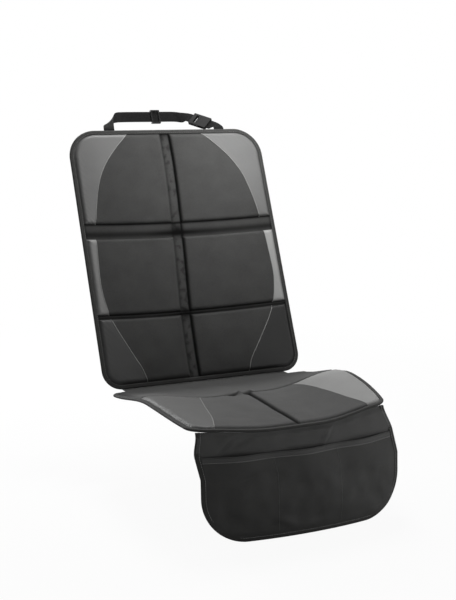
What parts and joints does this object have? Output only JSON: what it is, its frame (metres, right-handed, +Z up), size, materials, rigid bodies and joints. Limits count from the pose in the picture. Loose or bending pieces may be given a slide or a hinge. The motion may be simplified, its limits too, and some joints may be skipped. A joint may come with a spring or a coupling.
{
  "type": "car seat protector mat",
  "caption": "Quilted mat that protects a car seat: padded back and seat panels with bound edges, a front flap with a divided pocket, and a buckled strap round the headrest posts.",
  "frame": {"origin": "middle of the crease, where the back panel's rear plane meets the seat panel's underside plane", "axes": "+X across the mat to the right as seen from the front, -Y the way a sitter faces, +Z up"},
  "size_m": [0.47, 0.7877, 0.7631],
  "materials": {
    "dark_cloth": "charcoal woven polyester",
    "inset_cloth": "smoother, lighter grey coated cloth",
    "seat_cloth": "charcoal woven polyester",
    "binding_tape": "folded edge tape",
    "backing_cloth": "plain anti-slip backing",
    "foam": "soft foam sheet inside the panels",
    "flap_cloth": "thin dark cloth",
    "webbing": "black woven webbing",
    "black_plastic": "moulded black plastic"
  },
  "bodies": {
    "root": {"back_backing": "backing_cloth", "back_binding": "binding_tape", "back_channel_lower": "dark_cloth", "back_channel_upper": "dark_cloth", "back_face_lower": "dark_cloth", "back_face_middle": "dark_cloth", "back_face_top": "dark_cloth", "back_foam_lower_left": "foam", "back_foam_lower_right": "foam", "back_foam_middle_left": "foam", "back_foam_middle_right": "foam", "back_foam_top_left": "foam", "back_foam_top_right": "foam", "back_inset_lower_left": "inset_cloth", "back_inset_lower_right": "inset_cloth", "back_inset_middle_left": "inset_cloth", "back_inset_middle_right": "inset_cloth", "back_inset_top_left": "inset_cloth", "back_inset_top_right": "inset_cloth", "buckle_socket": "black_plastic", "buckle_tongue": "black_plastic", "crease_cloth": "dark_cloth", "flap_binding": "binding_tape", "flap_sheet": "flap_cloth", "pocket_hem": "flap_cloth", "pocket_sheet": "flap_cloth", "seat_backing": "backing_cloth", "seat_binding": "binding_tape", "seat_face_front": "seat_cloth", "seat_face_rear": "seat_cloth", "seat_foam_front_left": "foam", "seat_foam_front_right": "foam", "seat_foam_rear": "foam", "seat_inset_left": "inset_cloth", "seat_inset_right": "inset_cloth", "strap_long": "webbing", "strap_short": "webbing", "strap_slider": "black_plastic"}
  },
  "joints": []
}
